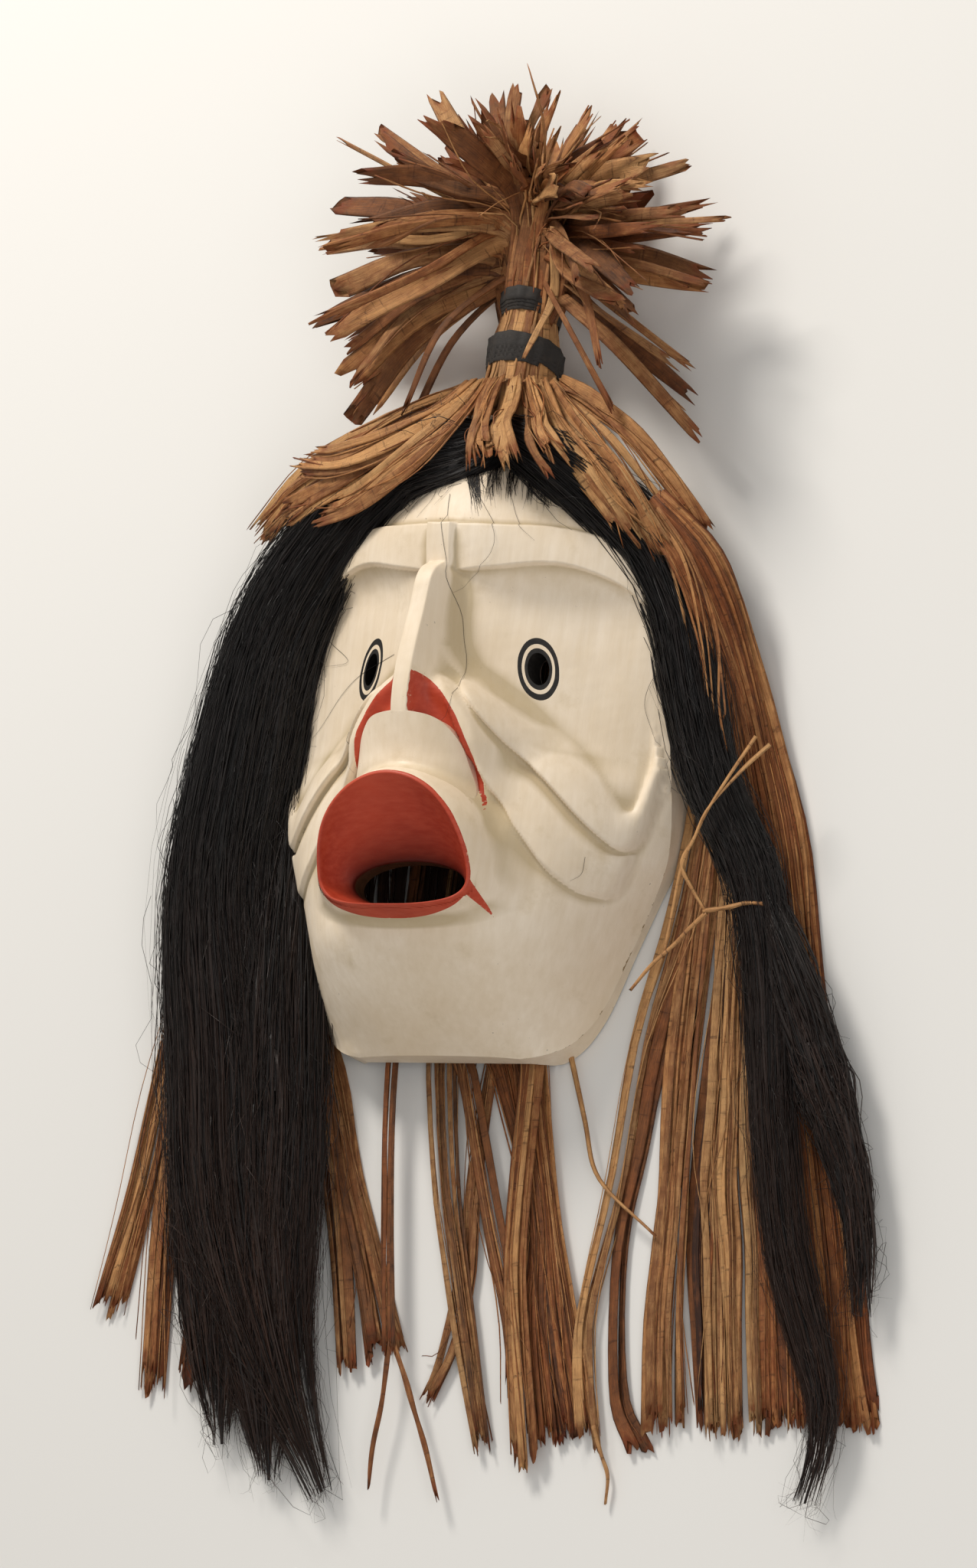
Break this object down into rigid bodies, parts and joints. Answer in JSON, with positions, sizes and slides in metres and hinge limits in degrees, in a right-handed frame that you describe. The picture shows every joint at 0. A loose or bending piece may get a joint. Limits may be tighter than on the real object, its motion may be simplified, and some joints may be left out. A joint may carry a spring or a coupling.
{
  "type": "cedar bark mask",
  "caption": "Carved and painted wooden face mask with an open round mouth, long dark hair, hanging bark strips and a tied bark topknot, lying on its back.",
  "frame": {"origin": "middle of the footprint of the whole piece, on the surface that the mask's back rim lies on", "axes": "+Z out of the face, +Y from the chin to the topknot, +X to the right of someone looking at the face"},
  "size_m": [0.4854, 0.773, 0.118],
  "materials": {
    "painted_wood": "satin paint",
    "hair": "glossy strands",
    "bark": "dull fibres",
    "band": "dull wound cord"
  },
  "bodies": {
    "root": {"mask_face": "painted_wood", "hair_left": "hair", "hair_right": "hair", "topknot_core": "bark", "band_lower": "band", "band_upper": "band", "topknot_fan_1": "bark", "topknot_fan_2": "bark", "topknot_fan_3": "bark", "topknot_fan_4": "bark", "topknot_fan_5": "bark", "topknot_fan_6": "bark", "topknot_fan_7": "bark", "bark_right_1": "bark", "bark_right_2": "bark", "bark_right_3": "bark", "bark_right_4": "bark", "bark_right_5": "bark", "bark_right_6": "bark", "bark_right_7": "bark", "bark_right_8": "bark", "bark_right_9": "bark", "bark_right_10": "bark", "bark_left_1": "bark", "bark_left_2": "bark", "bark_left_3": "bark", "bark_left_4": "bark", "bark_left_5": "bark", "bark_left_6": "bark", "bark_left_7": "bark", "bark_centre_1": "bark", "bark_centre_2": "bark", "bark_centre_3": "bark", "bark_centre_4": "bark", "bark_centre_5": "bark", "bark_centre_6": "bark", "bark_centre_7": "bark", "bark_crossing": "bark", "bark_cord": "bark", "crown_bark_1": "bark", "crown_bark_2": "bark", "crown_bark_3": "bark", "crown_bark_4": "bark", "crown_bark_5": "bark", "crown_bark_6": "bark", "crown_bark_7": "bark", "crown_bark_8": "bark", "crown_bark_9": "bark", "crown_bark_10": "bark", "crown_bark_11": "bark"}
  },
  "joints": []
}
